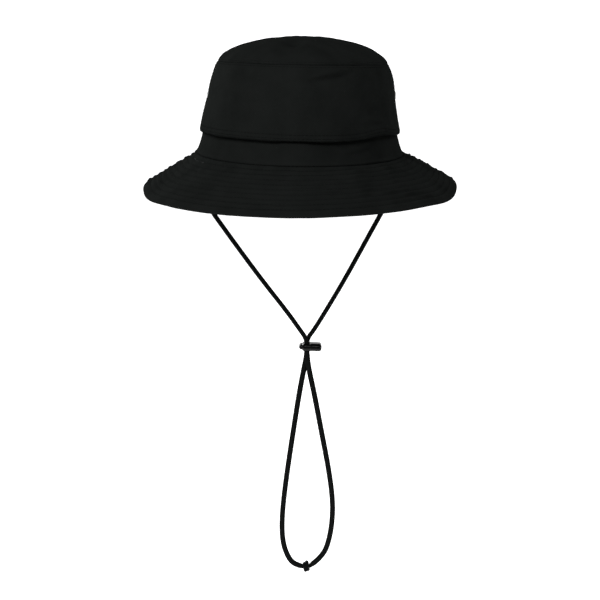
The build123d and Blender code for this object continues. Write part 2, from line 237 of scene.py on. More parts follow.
# ---- how a cloth surface is made ----
class Cloth:
    """A stretch of cloth: a line of (half-width, height) carried round the oval and then rumpled.

    The line is the cloth's visible face. Side is 1 where the line runs up, as on the crown's wall,
    and -1 where it runs down and outwards, as on the tip and the brim's upper face.
    """

    def __init__(self, line, spacing, ring, shape, side=1):
        self.line, self.at = outline(line, spacing)
        self.ring = ring
        self.shape = shape
        self.side = side
        self.reference = float(self.line[:, 0].mean())

    def base(self, angle, along):
        half_width = np.interp(along, self.at, self.line[:, 0])
        height = np.interp(along, self.at, self.line[:, 1])
        return self.ring(angle, half_width, height)

    def normal(self, place, angle, along):
        """Unit vector out of the cloth's visible face."""
        step_angle, step_along = 1e-3, 0.3 * MM
        low = np.clip(along - step_along, 0, self.at[-1])
        high = np.clip(along + step_along, 0, self.at[-1])
        round_it = place(angle + step_angle, along) - place(angle - step_angle, along)
        up_it = place(angle, high) - place(angle, low)
        out = np.cross(round_it, up_it) * self.side
        return out / np.linalg.norm(out, axis=-1, keepdims=True)

    def place(self, angle, along):
        """Point of the visible face after it is shaped."""
        base = self.base(angle, along)
        out = self.normal(self.base, angle, along)
        across = oval_length(np.mod(angle, math.tau)) * self.reference
        push, shift = self.shape(angle, along, across, base)
        return base + out * push[..., None] + shift

    def mesh(self, name, angles, thickness):
        """Closed shell of the cloth between two angles."""
        angle, along = np.meshgrid(angles, self.at, indexing="ij")
        faces_out = self.place(angle, along)
        faces_in = faces_out - self.normal(self.place, angle, along) * thickness
        rows, columns = angle.shape
        count = rows * columns
        upper = quads(rows, columns)[:, ::-1]
        lower = upper[:, ::-1] + count
        index = np.arange(count).reshape(rows, columns)
        loop = np.concatenate([index[0, :], index[1:, -1], index[-1, -2::-1], index[-2:0:-1, 0]])
        after = np.roll(loop, -1)
        rim = np.stack([loop, after, after + count, loop + count], axis=-1)
        across = oval_length(angle) * self.reference
        flat = np.stack([across, along, 0 * along], axis=-1)
        faces = np.concatenate([upper, lower, rim])
        return mesh_from(
            name,
            np.concatenate([faces_out.reshape(-1, 3), faces_in.reshape(-1, 3)]),
            faces if self.side > 0 else faces[:, ::-1],
            np.concatenate([flat.reshape(-1, 3), flat.reshape(-1, 3)]),
        )


# ---- thread ----
STITCH_SIDES = 6
STITCH_RINGS = np.array([[-0.5, 0.25], [-0.36, 0.85], [0.0, 1.0], [0.36, 0.85], [0.5, 0.25]])


def stitches(places, normals, stitch, gap, radius):
    """Points and faces of a row of stitches laid along a line of places."""
    runs = np.linalg.norm(np.diff(places, axis=0), axis=1)
    length = np.concatenate([[0], np.cumsum(runs)])
    pitch = stitch + gap
    count = int(length[-1] / pitch)
    middles = (np.arange(count) + 0.5) * pitch

    def at(values, where):
        return np.stack([np.interp(where, length, values[:, i]) for i in range(3)], axis=-1)

    centre = at(places, middles)
    ahead = at(places, middles + stitch / 2) - at(places, middles - stitch / 2)
    ahead /= np.linalg.norm(ahead, axis=1, keepdims=True)
    out = at(normals, middles)
    side = np.cross(ahead, out)
    side /= np.linalg.norm(side, axis=1, keepdims=True)
    out = np.cross(side, ahead)
    turn = np.arange(STITCH_SIDES) * math.tau / STITCH_SIDES
    points = (
        centre[:, None, None, :]
        + ahead[:, None, None, :] * (STITCH_RINGS[:, 0] * stitch)[None, :, None, None]
        + (side[:, None, None, :] * np.cos(turn)[None, None, :, None]
           + out[:, None, None, :] * np.sin(turn)[None, None, :, None])
        * (STITCH_RINGS[:, 1] * radius)[None, :, None, None]
    )
    one = tube_faces(len(STITCH_RINGS), STITCH_SIDES)
    per = len(STITCH_RINGS) * STITCH_SIDES
    faces = [[v + k * per for v in face] for k in range(count) for face in one]
    return points.reshape(-1, 3), faces


class Sewing:
    """Collects rows of stitches that end up as one piece."""

    def __init__(self, stitch=2.5 * MM, gap=0.6 * MM, radius=0.17 * MM):
        self.points, self.faces, self.count = [], [], 0
        self.stitch, self.gap, self.radius = stitch, gap, radius

    def row(self, cloth, angles, along, lift=0.06 * MM):
        """A row along a cloth: constant in height, or along its line at one angle."""
        angle, along = np.broadcast_arrays(np.asarray(angles, float), np.asarray(along, float))
        out = cloth.normal(cloth.place, angle, along)
        places = cloth.place(angle, along) + out * lift
        points, faces = stitches(places, out, self.stitch, self.gap, self.radius)
        self.points.append(points)
        self.faces += [[v + self.count for v in face] for face in faces]
        self.count += len(points)

    def finish(self, name, material):
        mesh = mesh_from(name, np.concatenate(self.points), self.faces)
        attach(add_object(name, mesh, material), "hat")


# ---- materials ----
def linear(code):
    """sRGB hex to the linear colour that a shader takes."""
    values = [int(code[i:i + 2], 16) / 255 for i in (1, 3, 5)]
    return [v / 12.92 if v <= 0.04045 else ((v + 0.055) / 1.055) ** 2.4 for v in values] + [1]


def node(tree, kind, settings=(), links=()):
    """Add one node with its settings, and link the sockets given into its inputs."""
    made = tree.nodes.new(kind)
    for key, value in dict(settings).items():
        if isinstance(key, int) or key in made.inputs:
            made.inputs[key].default_value = value
        else:
            setattr(made, key, value)
    for key, source in dict(links).items():
        tree.links.new(source, made.inputs[key])
    return made


def surface(name, **sockets):
    """New material with a Principled shader, and its tree, shader and output."""
    material = bpy.data.materials.new(name)
    material.use_nodes = True
    tree = material.node_tree
    shader = tree.nodes["Principled BSDF"]
    for key, value in sockets.items():
        shader.inputs[key.replace("_", " ")].default_value = value
    return material, tree, shader


def woven_cloth(name, light, dark, thread, roughness, depth):
    """Plain-woven cloth: crossing threads, a few thicker ones, and faint clouding of the dye."""
    material, tree, shader = surface(name, Roughness=roughness, IOR=1.5)
    shader.inputs["Specular IOR Level"].default_value = 0.0
    place = node(tree, "ShaderNodeAttribute", {"attribute_name": "cloth"})
    split = node(tree, "ShaderNodeSeparateXYZ", {}, {0: place.outputs["Vector"]})
    waves = []
    for axis in ("X", "Y"):
        turns = node(tree, "ShaderNodeMath", {"operation": "MULTIPLY", 1: math.pi / thread},
                     {0: split.outputs[axis]})
        waves.append(node(tree, "ShaderNodeMath", {"operation": "SINE"}, {0: turns.outputs[0]}))
    crossing = node(tree, "ShaderNodeMath", {"operation": "MULTIPLY"},
                    {0: waves[0].outputs[0], 1: waves[1].outputs[0]})
    stretch = node(tree, "ShaderNodeMapping", {"Scale": (0.08, 1.0, 1.0)},
                   {"Vector": place.outputs["Vector"]})
    slub = node(tree, "ShaderNodeTexNoise", {"Scale": 0.35 / thread, "Detail": 2.0},
                {"Vector": stretch.outputs[0]})
    cloud = node(tree, "ShaderNodeTexNoise", {"Scale": 45.0, "Detail": 3.0},
                 {"Vector": place.outputs["Vector"]})
    weave = node(tree, "ShaderNodeMapRange", {"From Min": -1.0, "From Max": 1.0},
                 {"Value": crossing.outputs[0]})
    relief = node(tree, "ShaderNodeMath", {"operation": "MULTIPLY_ADD", 1: 0.5},
                  {0: slub.outputs["Fac"], 2: weave.outputs[0]})
    shade = node(tree, "ShaderNodeMath", {"operation": "MULTIPLY_ADD", 1: 0.45},
                 {0: weave.outputs[0], 2: cloud.outputs["Fac"]})
    colour = node(tree, "ShaderNodeValToRGB", {}, {0: shade.outputs[0]})
    colour.color_ramp.elements[0].position = 0.35
    colour.color_ramp.elements[0].color = linear(dark)
    colour.color_ramp.elements[1].position = 0.95
    colour.color_ramp.elements[1].color = linear(light)
    bump = node(tree, "ShaderNodeBump", {"Strength": 0.5, "Distance": depth},
                {"Height": relief.outputs[0]})
    tree.links.new(colour.outputs[0], shader.inputs["Base Color"])
    tree.links.new(bump.outputs[0], shader.inputs["Normal"])
    return material


def speckled(name, light, dark, scale, roughness, specular, metallic=0.0, depth=0.0, stretch=(1, 1, 1)):
    """Material whose tone and relief vary with a fine grain."""
    material, tree, shader = surface(name, Roughness=roughness, Metallic=metallic)
    shader.inputs["Specular IOR Level"].default_value = specular
    place = node(tree, "ShaderNodeTexCoord")
    scaled = node(tree, "ShaderNodeMapping", {"Scale": stretch}, {"Vector": place.outputs["Object"]})
    grain = node(tree, "ShaderNodeTexNoise", {"Scale": scale, "Detail": 3.0},
                 {"Vector": scaled.outputs[0]})
    colour = node(tree, "ShaderNodeValToRGB", {}, {0: grain.outputs["Fac"]})
    colour.color_ramp.elements[0].position = 0.3
    colour.color_ramp.elements[0].color = linear(dark)
    colour.color_ramp.elements[1].position = 0.7
    colour.color_ramp.elements[1].color = linear(light)
    tree.links.new(colour.outputs[0], shader.inputs["Base Color"])
    if depth:
        bump = node(tree, "ShaderNodeBump", {"Strength": 0.4, "Distance": depth},
                    {"Height": grain.outputs["Fac"]})
        tree.links.new(bump.outputs[0], shader.inputs["Normal"])
    return material


# Plain-woven nylon is matt and almost even in tone, with a fine grid and a few thicker threads.
# Its threads are about 0.3 mm apart, and are drawn 0.9 mm apart so that the weave shows.
shell_cloth = woven_cloth("nylon_plain_woven_black_outer_face", "#222423", "#1a1c1b", 0.9 * MM, 0.8, 0.1 * MM)
under_cloth = woven_cloth("nylon_plain_woven_black_under_brim", "#1e2020", "#171818", 0.9 * MM, 0.9, 0.1 * MM)
# Woven tape is closer to black and coarser than the shell.
tape_cloth = woven_cloth("polyester_woven_tape_black", "#1d1e1e", "#121313", 1.2 * MM, 0.8, 0.2 * MM)
# Spun polyester thread is dull and dyed right through, so the stitches show by their relief alone.
thread = speckled("polyester_thread_spun_and_dyed_black", "#1b1d1c", "#101111", 900.0, 0.7, 0.0)
# Brushed tricot is raised into a soft nap, which takes the gloss off the sweatband.
tricot = speckled(
    "polyester_tricot_brushed_sweatband", "#232425", "#141415", 1400.0, 0.95, 0.08, depth=0.2 * MM)
# Warp-knitted mesh is smooth filament, a little shinier than the cloth.
knit = speckled("polyester_mesh_warp_knitted_black", "#1c1d1d", "#101111", 700.0, 0.6, 0.2)
# Non-woven interlining is pressed fibre, dull and slightly felted.
felted = speckled(
    "interlining_non_woven_pressed_fibre", "#2a2b2b", "#1b1c1c", 500.0, 0.9, 0.1, depth=0.1 * MM)
# Lacquered brass shows a satin dark metal, brightest on the rolled rim.
lacquered = speckled(
    "brass_eyelet_black_lacquered_and_pressed", "#7a7c7c", "#4a4b4b", 500.0, 0.34, 0.5, metallic=1.0)
# Moulded acetal is waxy-smooth with a soft sheen and a faint flow grain.
acetal = speckled("acetal_moulded_black_lock", "#0e0f0f", "#080909", 260.0, 0.16, 0.16, depth=0.01 * MM,
                  stretch=(0.25, 1, 1))
# Spring wire is drawn steel with fine drawing lines.
wire = speckled("spring_steel_drawn_wire", "#b9bbbc", "#8d8f90", 1500.0, 0.3, 0.5, metallic=1.0)
# Polyester cord is braided over a core: dull filaments, whose crossings make a fine relief.
braided = speckled("polyester_cord_braided_black", "#1b1c1c", "#0f1010", 1600.0, 0.8, 0.0, depth=0.1 * MM)


# ---- chin cord ----
CORD_DIAMETER = 3.8 * MM
HOLE = (6.15 * MM, 0.0, -171.6 * MM)
CHIN_CORD_RIGHT_ROUTE = [
    (-0.084, 0.0, -0.009),
    (-0.084, 0.0, -0.038),
    (-0.06, 0.0, -0.0732),
    (-0.0335, -0.0003, -0.1105),
    (-0.0117, -0.0008, -0.139),
    (-0.0002, -0.0014, -0.1555),
    (0.00615, -0.00195, -0.1648),
    (0.00615, -0.00195, -0.1716),
]
CHIN_CORD_LEFT_ROUTE = [
    (0.084, 0.0, -0.009),
    (0.084, 0.0, -0.0255),
    (0.0754, 0.0, -0.041),
    (0.0588, 0.0, -0.0725),
    (0.038, 0.0003, -0.1124),
    (0.0223, 0.0008, -0.1398),
    (0.0126, 0.0014, -0.1564),
    (0.00615, 0.00195, -0.1652),
    (0.00615, 0.00195, -0.1716),
]
LOOP_CORD_LEFT_ROUTE = [
    (0.00615, -0.00195, -0.1716),
    (0.00615, -0.00195, -0.18),
    (0.008, -0.0016, -0.193),
    (0.0127, -0.0012, -0.215),
    (0.0195, -0.0008, -0.2525),
    (0.027, -0.0004, -0.293),
    (0.0308, -0.0002, -0.326),
    (0.0286, 0.0, -0.356),
    (0.0215, 0.0, -0.379),
    (0.0085, 0.0, -0.3883),
]
LOOP_CORD_RIGHT_ROUTE = [
    (0.00615, 0.00195, -0.1716),
    (0.00615, 0.00195, -0.18),
    (0.0035, 0.0016, -0.193),
    (-0.0007, 0.0012, -0.216),
    (-0.0068, 0.0008, -0.257),
    (-0.0133, 0.0004, -0.303),
    (-0.0169, 0.0002, -0.338),
    (-0.0164, 0.0, -0.363),
    (-0.0108, 0.0, -0.38),
    (-0.004, 0.0, -0.387),
    (0.0045, 0.0, -0.3888),
]


def line_of(route):
    """Points along the smooth line that a route's corner points pull on."""
    curve = bpy.data.curves.new("route", "CURVE")
    curve.dimensions = "3D"
    curve.resolution_u = 24
    spline = curve.splines.new("NURBS")
    spline.points.add(len(route) - 1)
    for point, place in zip(spline.points, route):
        point.co = (*place, 1)
    spline.order_u = 3
    spline.use_endpoint_u = True
    holder = bpy.data.objects.new("route", curve)
    scene.collection.objects.link(holder)
    mesh = bpy.data.meshes.new_from_object(holder)
    points = np.array([v.co for v in mesh.vertices])
    bpy.data.objects.remove(holder)
    bpy.data.meshes.remove(mesh)
    return points


def even(points, spacing):
    """The same line with its points evenly spaced."""
    length = np.concatenate([[0], np.cumsum(np.linalg.norm(np.diff(points, axis=0), axis=1))])
    count = max(3, int(round(length[-1] / spacing)) + 1)
    at = np.linspace(0, length[-1], count)
    return np.stack([np.interp(at, length, points[:, i]) for i in range(3)], axis=1), at


def frames(points, first_side=(0, 1, 0)):
    """Directions along, beside and above a line, carried along it without twist."""
    ahead = np.gradient(points, axis=0)
    ahead /= np.linalg.norm(ahead, axis=1, keepdims=True)
    side = np.empty_like(ahead)
    last = np.array(first_side, float)
    for i, direction in enumerate(ahead):
        last = last - direction * last.dot(direction)
        last /= np.linalg.norm(last)
        side[i] = last
    return ahead, side, np.cross(ahead, side)


LEG_SWELL = 0.3 * MM
SLACK_SWELL = 1.2 * MM
BRAID_SIDES = 36
BRAID_STRANDS = 6
BRAID_PITCH = 11 * MM
BRAID_RELIEF = 0.09 * MM
BRAID_STEP = 0.42 * MM


def braid(name, points, diameter, spacing=BRAID_STEP, swell=0.0, tight_ends=(0.0, 0.0)):
    """Mesh tube whose surface carries the crossing strands of a braid.

    A slack cord fills out by the swell, except within a short way of each tight end.
    """
    points, at = even(points, spacing)
    slack = np.ones(len(at))
    for reach, distance in zip(tight_ends, (at, at[-1] - at)):
        if reach:
            slack = slack * smooth(distance / reach)
    diameter = (diameter + swell * slack)[:, None]
    _, side, above = frames(points)
    turn = np.arange(BRAID_SIDES) * math.tau / BRAID_SIDES
    twist = math.tau * at[:, None] / BRAID_PITCH * BRAID_STRANDS / 2
    over = np.sin(BRAID_STRANDS * turn[None, :] + twist) * np.sin(BRAID_STRANDS * turn[None, :] - twist)
    radius = diameter / 2 - BRAID_RELIEF / 2 + BRAID_RELIEF * over
    ring = (side[:, None, :] * np.cos(turn)[None, :, None] + above[:, None, :] * np.sin(turn)[None, :, None])
    surface_points = points[:, None, :] + ring * radius[:, :, None]
    faces = [face[::-1] for face in tube_faces(len(points), BRAID_SIDES)]
    return mesh_from(name, surface_points, faces), points, at


CORDS = {
    "chin_cord_right": (CHIN_CORD_RIGHT_ROUTE, "chin_strap", "cord_lock", "object"),
    "chin_cord_left": (CHIN_CORD_LEFT_ROUTE, "chin_strap", "cord_lock", "object"),
    "loop_cord_left": (LOOP_CORD_LEFT_ROUTE, "cord_lock", "chin_strap", "knot"),
    "loop_cord_right": (LOOP_CORD_RIGHT_ROUTE, "cord_lock", "chin_strap", "knot"),
}
# how far from the tabs, the lock and the knot a start and an end point are set on each length of cord; these
# points are worked out below and not used
TAB_CLEAR = 10 * MM
LOCK_CLEAR = 9 * MM
KNOT_CLEAR = 4 * MM
for name, (route, first, last, far_end) in CORDS.items():
    # the legs are pulled almost straight, and the loop hangs slack and fills out
    if first == "chin_strap":
        swell, tight_ends = LEG_SWELL, (0.0, 8 * MM)
    else:
        swell, tight_ends = SLACK_SWELL, (8 * MM, 6 * MM)
    mesh, points, at = braid(
        name + "_braid", line_of(route), CORD_DIAMETER, swell=swell, tight_ends=tight_ends)
    piece = add_object(name + "_braid", mesh, braided)
    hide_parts(name)
    if first == "chin_strap":
        start = (0, 0, route[0][2] - TAB_CLEAR)
        end = (0, 0, HOLE[2] + LOCK_CLEAR)
    else:
        start = (0, 0, HOLE[2] - LOCK_CLEAR)
        end = (0, 0, knot_high.z + KNOT_CLEAR)
    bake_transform(piece)


# ---- overhand knot: the two cords wrap once and a half round each other ----
KNOT_WRAPS = 1.5
KNOT_CORD = 3.3 * MM


def knot_line(count=90):
    """Line of the wrap about the knot's own axis, which runs from side to side."""
    centre = (knot_low + knot_high) / 2
    share = np.linspace(0, 1, count)
    turn = math.tau * KNOT_WRAPS * share + math.pi / 2
    reach = 1.25 * (knot_high.z - knot_low.z) / 2 - KNOT_CORD / 2
    swell = reach * (0.72 + 0.28 * np.sin(math.pi * share))
    along = (share - 0.5) * (knot_high.x - knot_low.x - KNOT_CORD) * 1.25
    return np.stack([
        centre.x + along,
        centre.y + swell * 0.85 * np.cos(turn),
        centre.z + swell * np.sin(turn),
    ], axis=1)


mesh, _, _ = braid("cord_knot_wrap", knot_line(), KNOT_CORD, spacing=0.35 * MM)
knot = add_object("cord_knot_wrap", mesh, braided)
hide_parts("cord_knot")
core_centre = (knot_low + knot_high) / 2
core_line = np.array([
    (knot_low.x - 1 * MM, 0, core_centre.z + 0.2 * MM),
    (core_centre.x, 0, core_centre.z),
    (knot_high.x + 1 * MM, 0, core_centre.z + 0.7 * MM),
])
mesh, _, _ = braid("cord_knot_core", core_line, CORD_DIAMETER * 0.95)
knot_core = add_object("cord_knot_core", mesh, braided)
for piece in (knot, knot_core):
    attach(piece, "chin_strap")


# ---- tabs that hold the cord's ends ----
TAB_WIDTH = tab_high.y - tab_low.y
TAPE = 0.7 * MM


def tab_mesh(name, side):
    """Folded tape: flat where it is sewn into the seam, swelling over the cord's end below."""
    heights = np.linspace(tab_low.z, tab_high.z + 3.4 * MM, 40)
    columns = 33
    rings = []
    for z in heights:
        over_cord = 1 - float(smooth((z - (TAB_PIVOT - 3.0 * MM)) / (5 * MM)))
        y = np.cos(np.linspace(0, math.pi, columns)) * TAB_WIDTH / 2
        edge = np.sqrt(np.clip(1 - (2 * y / TAB_WIDTH) ** 8, 0, 1))
        half = (TAPE + over_cord * (CORD_DIAMETER / 2 - 0.1 * MM) * hump(y, 1.9 * MM)) * edge
        x = np.concatenate([half, -half[-2:0:-1]])
        rings.append(np.stack([side * TAB_X + x, np.concatenate([y, y[-2:0:-1]]), z + 0 * x], axis=1))
    points = np.array(rings)
    cloth = np.stack([points[..., 1], points[..., 2], 0 * points[..., 2]], axis=-1)
    return mesh_from(name, points, tube_faces(*points.shape[:2]), cloth)


for name, side in (("left", 1), ("right", -1)):
    mesh = tab_mesh(f"cord_tab_{name}_tape", side)
    tab = add_object(mesh.name, mesh, tape_cloth)
    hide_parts(f"cord_tab_{name}")
    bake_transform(tab)

# ---- crown ----
CLOTH = 0.5 * MM
GROOVE = 0.6 * MM
GROOVE_WIDTH = 0.7 * MM
CROWN_TILT = math.radians(0.8)
TIP_TILT = math.radians(0.3)
CROWN_SLUMP = 2.3 * MM
SHOULDER = (77.2 * MM, 48.0 * MM)
SHOULDER_CONTROL = (76.4 * MM, 61.2 * MM)
TIP_CENTRE = 68.0 * MM
TIP_RADIUS = 72.0 * MM
HEM_HEIGHT = 10 * MM
HEM_ROUND = 0.75 * MM


def lean(base):
    """The crown slumps a little to the wearer's left, most at the tip seam, and its top is level."""
    height = base[..., 2]
    rising = smooth((height - SHOULDER[1]) / (TIP_SEAM - SHOULDER[1]))
    levelling = smooth((height - TIP_SEAM) / (0.8 * (CROWN_TOP - TIP_SEAM)))
    amount = (CROWN_TILT + TIP_TILT * rising) * (1 - levelling)
    drop = -base[..., 0] * np.tan(amount)
    aside = CROWN_SLUMP * smooth((height - 28 * MM) / (40 * MM)) * (1 - levelling)
    return np.stack([aside, 0 * drop, drop], axis=-1)


def seam_dip(distance):
    """How far cloth turns in at a seam."""
    return -GROOVE * hump(distance, GROOVE_WIDTH)


def row_dip(distance, depth=0.22 * MM, width=0.7 * MM):
    """The shallow groove that a row of stitches pulls into cloth."""
    return -depth * hump(distance, width)


# Wall line from the hem's inner edge, down inside, round the fold and up the outer face.
fold_centre = (FLAP_HALF_WIDTH - HEM_ROUND, FLAP_EDGE + HEM_ROUND)
wall_slope = (SHOULDER[0] - FLAP_HALF_WIDTH) / (SHOULDER[1] - FLAP_EDGE)
hem_inside = [
    (fold_centre[0] - HEM_ROUND + wall_slope * h, fold_centre[1] + h)
    for h in (HEM_HEIGHT, 0.0)
]
hem_fold = [
    (fold_centre[0] - HEM_ROUND * math.cos(t), fold_centre[1] - HEM_ROUND * math.sin(t))
    for t in np.linspace(0, math.pi, 9)[1:-1]
]
wall_line = (
    hem_inside + hem_fold
    + [(FLAP_HALF_WIDTH, FLAP_EDGE + HEM_ROUND), SHOULDER]
    + [tuple(p) for p in bow(SHOULDER, SHOULDER_CONTROL, (TIP_HALF_WIDTH, TIP_SEAM))[1:]]
)
HEM_TURN = HEM_HEIGHT + HEM_ROUND * math.pi / 2
HEM_ROWS = (2.8 * MM, 5.6 * MM)
TOPSTITCH = 2.0 * MM
LIFT_ANGLE = math.radians(319)
LIFT_SPREAD = math.radians(13)
LIFT_OUT = 1.7 * MM
LIFT_UP = 3.6 * MM


def turn_between(angle, middle):
    """Smallest turn from one angle to another."""
    return np.mod(angle - middle + math.pi, math.tau) - math.pi


def side_distance(angle, reference):
    """Distance along the oval to the nearer side seam."""
    here = oval_length(np.mod(angle, math.tau)) * reference
    seams = [oval_length(a) * reference for a in (0.0, math.pi, math.tau)]
    return np.min([np.abs(here - seam) for seam in seams], axis=0)


def crease(base, start, end, depth, width):
    """Soft fold on the front between two (x, z) places: a ridge with a hollow below it."""
    ax, az = start
    bx, bz = end
    length = math.hypot(bx - ax, bz - az)
    ux, uz = (bx - ax) / length, (bz - az) / length
    x, z = base[..., 0] - ax, base[..., 2] - az
    ahead = x * ux + z * uz
    aside = -x * uz + z * ux
    inside = smooth(ahead / (length * 0.4)) * smooth((length - ahead) / (length * 0.4))
    front = smooth(-base[..., 1] / (20 * MM))
    return front * inside * depth * (hump(aside - width * 0.6, width) - hump(aside + width * 0.6, width))


def wall_shape(angle, along, across, base):
    from_top = wall.at[-1] - along
    height = along - HEM_TURN
    to_side = side_distance(angle, wall.reference)
    free = smooth(to_side / (9 * MM)) * smooth(from_top / (9 * MM))
    push = 0.4 * MM * rumple(across, along, 11, 35 * MM, 110 * MM) * free
    push += 0.08 * MM * rumple(across, along, 12, 10 * MM, 26 * MM) * free
    push += seam_dip(from_top) + seam_dip(to_side) * smooth((height + 1 * MM) / (3 * MM))
    push += row_dip(from_top - TOPSTITCH)
    # the rows through the hem pull it flat and pucker it a little
    for row in HEM_ROWS:
        push += row_dip(height - row, 0.16 * MM)
    ripple = rumple(across, 0 * along, 13, 6 * MM, 14 * MM)
    push += 0.07 * MM * ripple * hump(height - 4 * MM, 5 * MM)
    # the hem's free edge waves, and lifts away at the wearer's left front
    loose = 1 - smooth((height + 1 * MM) / (26 * MM))
    lift = hump(turn_between(angle, LIFT_ANGLE), LIFT_SPREAD)
    wave = rumple(across, 0 * along, 14, 70 * MM, 180 * MM, 6)
    push += loose * (0.35 * MM * wave + 0.1 * MM + LIFT_OUT * lift)
    # soft creases below the tip seam, and near the hem beside the lift
    push += crease(base, (-2 * MM, 62.0 * MM), (42 * MM, 70.5 * MM), 2.2 * MM, 2.3 * MM)
    push += crease(base, (44 * MM, 32 * MM), (68 * MM, 27 * MM), 0.8 * MM, 3.0 * MM)
    push += crease(base, (-66 * MM, 58 * MM), (-36 * MM, 66 * MM), 0.5 * MM, 3.2 * MM)
    shift = lean(base)
    shift[..., 2] += loose * (LIFT_UP * lift + 0.5 * MM * wave)
    return push, shift


wall = Cloth(wall_line, 1.2 * MM, crown_point, wall_shape)
WALL_COLUMNS = 230
EYELET_SPREAD = 16.5 * MM
EYELET_HOLE = 2.5 * MM
eyelet_low, eyelet_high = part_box("vent_eyelets")
EYELET_HEIGHT = (eyelet_low.z + eyelet_high.z) / 2


def eyelet_places():
    """Centre and outward direction of each eyelet on the shaped wall."""
    along = np.interp(EYELET_HEIGHT, wall.line[len(wall.line) // 3:, 1], wall.at[len(wall.line) // 3:])
    half_width = np.interp(along, wall.at, wall.line[:, 0])
    turn = math.asin(EYELET_SPREAD / (half_width * OVAL))
    places = []
    for angle in (turn, math.tau - turn, math.pi - turn, math.pi + turn):
        at = np.array([angle])
        centre = wall.place(at, np.array([along]))[0]
        out = wall.normal(wall.place, at, np.array([along]))[0]
        places.append((Vector(centre), Vector(out)))
    return places


def drop_loose_points(mesh):
    """Take out the points that no face uses."""
    shell = bmesh.new()
    shell.from_mesh(mesh)
    bmesh.ops.delete(shell, geom=[v for v in shell.verts if not v.link_faces], context="VERTS")
    shell.to_mesh(mesh)
    shell.free()


def punch(mesh, places, radius):
    """Cut a round hole through a shell of cloth at each place."""
    shell = bmesh.new()
    shell.from_mesh(mesh)
    reach = 6 * MM
    for centre, out in places:
        near = []
        for face in shell.faces:
            offset = face.calc_center_median() - centre
            depth = offset.dot(out)
            if abs(depth) < reach and (offset - out * depth).length < radius:
                near.append(face)
        bmesh.ops.delete(shell, geom=near, context="FACES")
        for vert in shell.verts:
            offset = vert.co - centre
            depth = offset.dot(out)
            level = offset - out * depth
            if abs(depth) < reach and 0 < level.length < radius:
                vert.co += level.normalized() * (radius - level.length)
    shell.to_mesh(mesh)
    shell.free()
    drop_loose_points(mesh)


for end, (start, stop) in (("front", FRONT), ("back", BACK)):
    name = f"crown_wall_{end}"
    mesh = wall.mesh(name + "_cloth", oval_angles(start, stop, WALL_COLUMNS), CLOTH)
    punch(mesh, eyelet_places(), EYELET_HOLE)
    add_to_hat(mesh, shell_cloth, name)


# ---- eyelets: pressed rings whose rim rolls over the cloth on both sides ----
def ring_mesh(name, places, profile, sides=40):
    """Rings turned from a profile of (radius, height) points, one standing at each place."""
    points, faces = [], []
    turn = np.arange(sides) * math.tau / sides
    for centre, out in places:
        across = out.cross(Vector((0, 0, 1))).normalized()
        up = across.cross(out)
        first = len(points)
        for angle in turn:
            way = across * math.cos(angle) + up * math.sin(angle)
            for radius, height in profile:
                points.append(centre + way * radius + out * height)
        count = len(profile)
        for i in range(sides):
            for j in range(count):
                a = first + i * count + j
                b = first + i * count + (j + 1) % count
                c = first + ((i + 1) % sides) * count + (j + 1) % count
                d = first + ((i + 1) % sides) * count + j
                faces.append([a, d, c, b])
    return mesh_from(name, np.array([tuple(p) for p in points]), faces)


EYELET_PROFILE = [(r * MM, h * MM) for r, h in (
    (2.0, -1.0), (2.0, 0.3), (2.15, 0.62), (2.5, 0.82), (3.0, 0.8), (3.5, 0.52), (3.75, 0.1), (3.6, 0.02),
    (2.45, 0.02), (2.45, -0.5), (2.45, -1.0))]
WASHER_PROFILE = [(r * MM, h * MM) for r, h in (
    (2.5, -0.55), (3.5, -0.55), (3.7, -0.7), (3.55, -0.95), (2.9, -1.05), (2.5, -0.95))]
for name, profile in (("vent_eyelets", EYELET_PROFILE), ("eyelet_washers", WASHER_PROFILE)):
    mesh = ring_mesh(name + "_pressed", eyelet_places(), profile)
    add_to_hat(mesh, lacquered, name)

# ---- tip: an oval dome, drawn as rings from near its centre to the seam ----
tip_rise = CROWN_TOP - TIP_CENTRE
tip_start = math.asin((TIP_SEAM - TIP_CENTRE) / tip_rise)
tip_line = [
    (TIP_RADIUS * math.cos(t), TIP_CENTRE + tip_rise * math.sin(t))
    for t in np.linspace(math.pi / 2 - 0.012, tip_start, 160)
]


def tip_shape(angle, along, across, base):
    from_seam = tip.at[-1] - along
    x, y = base[..., 0], base[..., 1]
    free = smooth(from_seam / (9 * MM))
    push = 0.45 * MM * rumple(x, y, 21, 35 * MM, 100 * MM) * free
    push += 0.2 * MM * rumple(x, y, 22, 9 * MM, 26 * MM) * free
    push += seam_dip(from_seam) + row_dip(from_seam - TOPSTITCH)
    # a small dimple at the front
    dimple = np.hypot(x + 4 * MM, (y + 52 * MM) * 0.7)
    push += -2.6 * MM * hump(dimple, 5 * MM)
    # a pleat-like ripple along the seam where the dome is eased into the wall
    push += 0.25 * MM * rumple(across, 0 * along, 23, 8 * MM, 22 * MM) * hump(from_seam - 4 * MM, 5 * MM)
    return push, lean(base)


tip = Cloth(tip_line, 1.5 * MM, crown_point, tip_shape, side=-1)


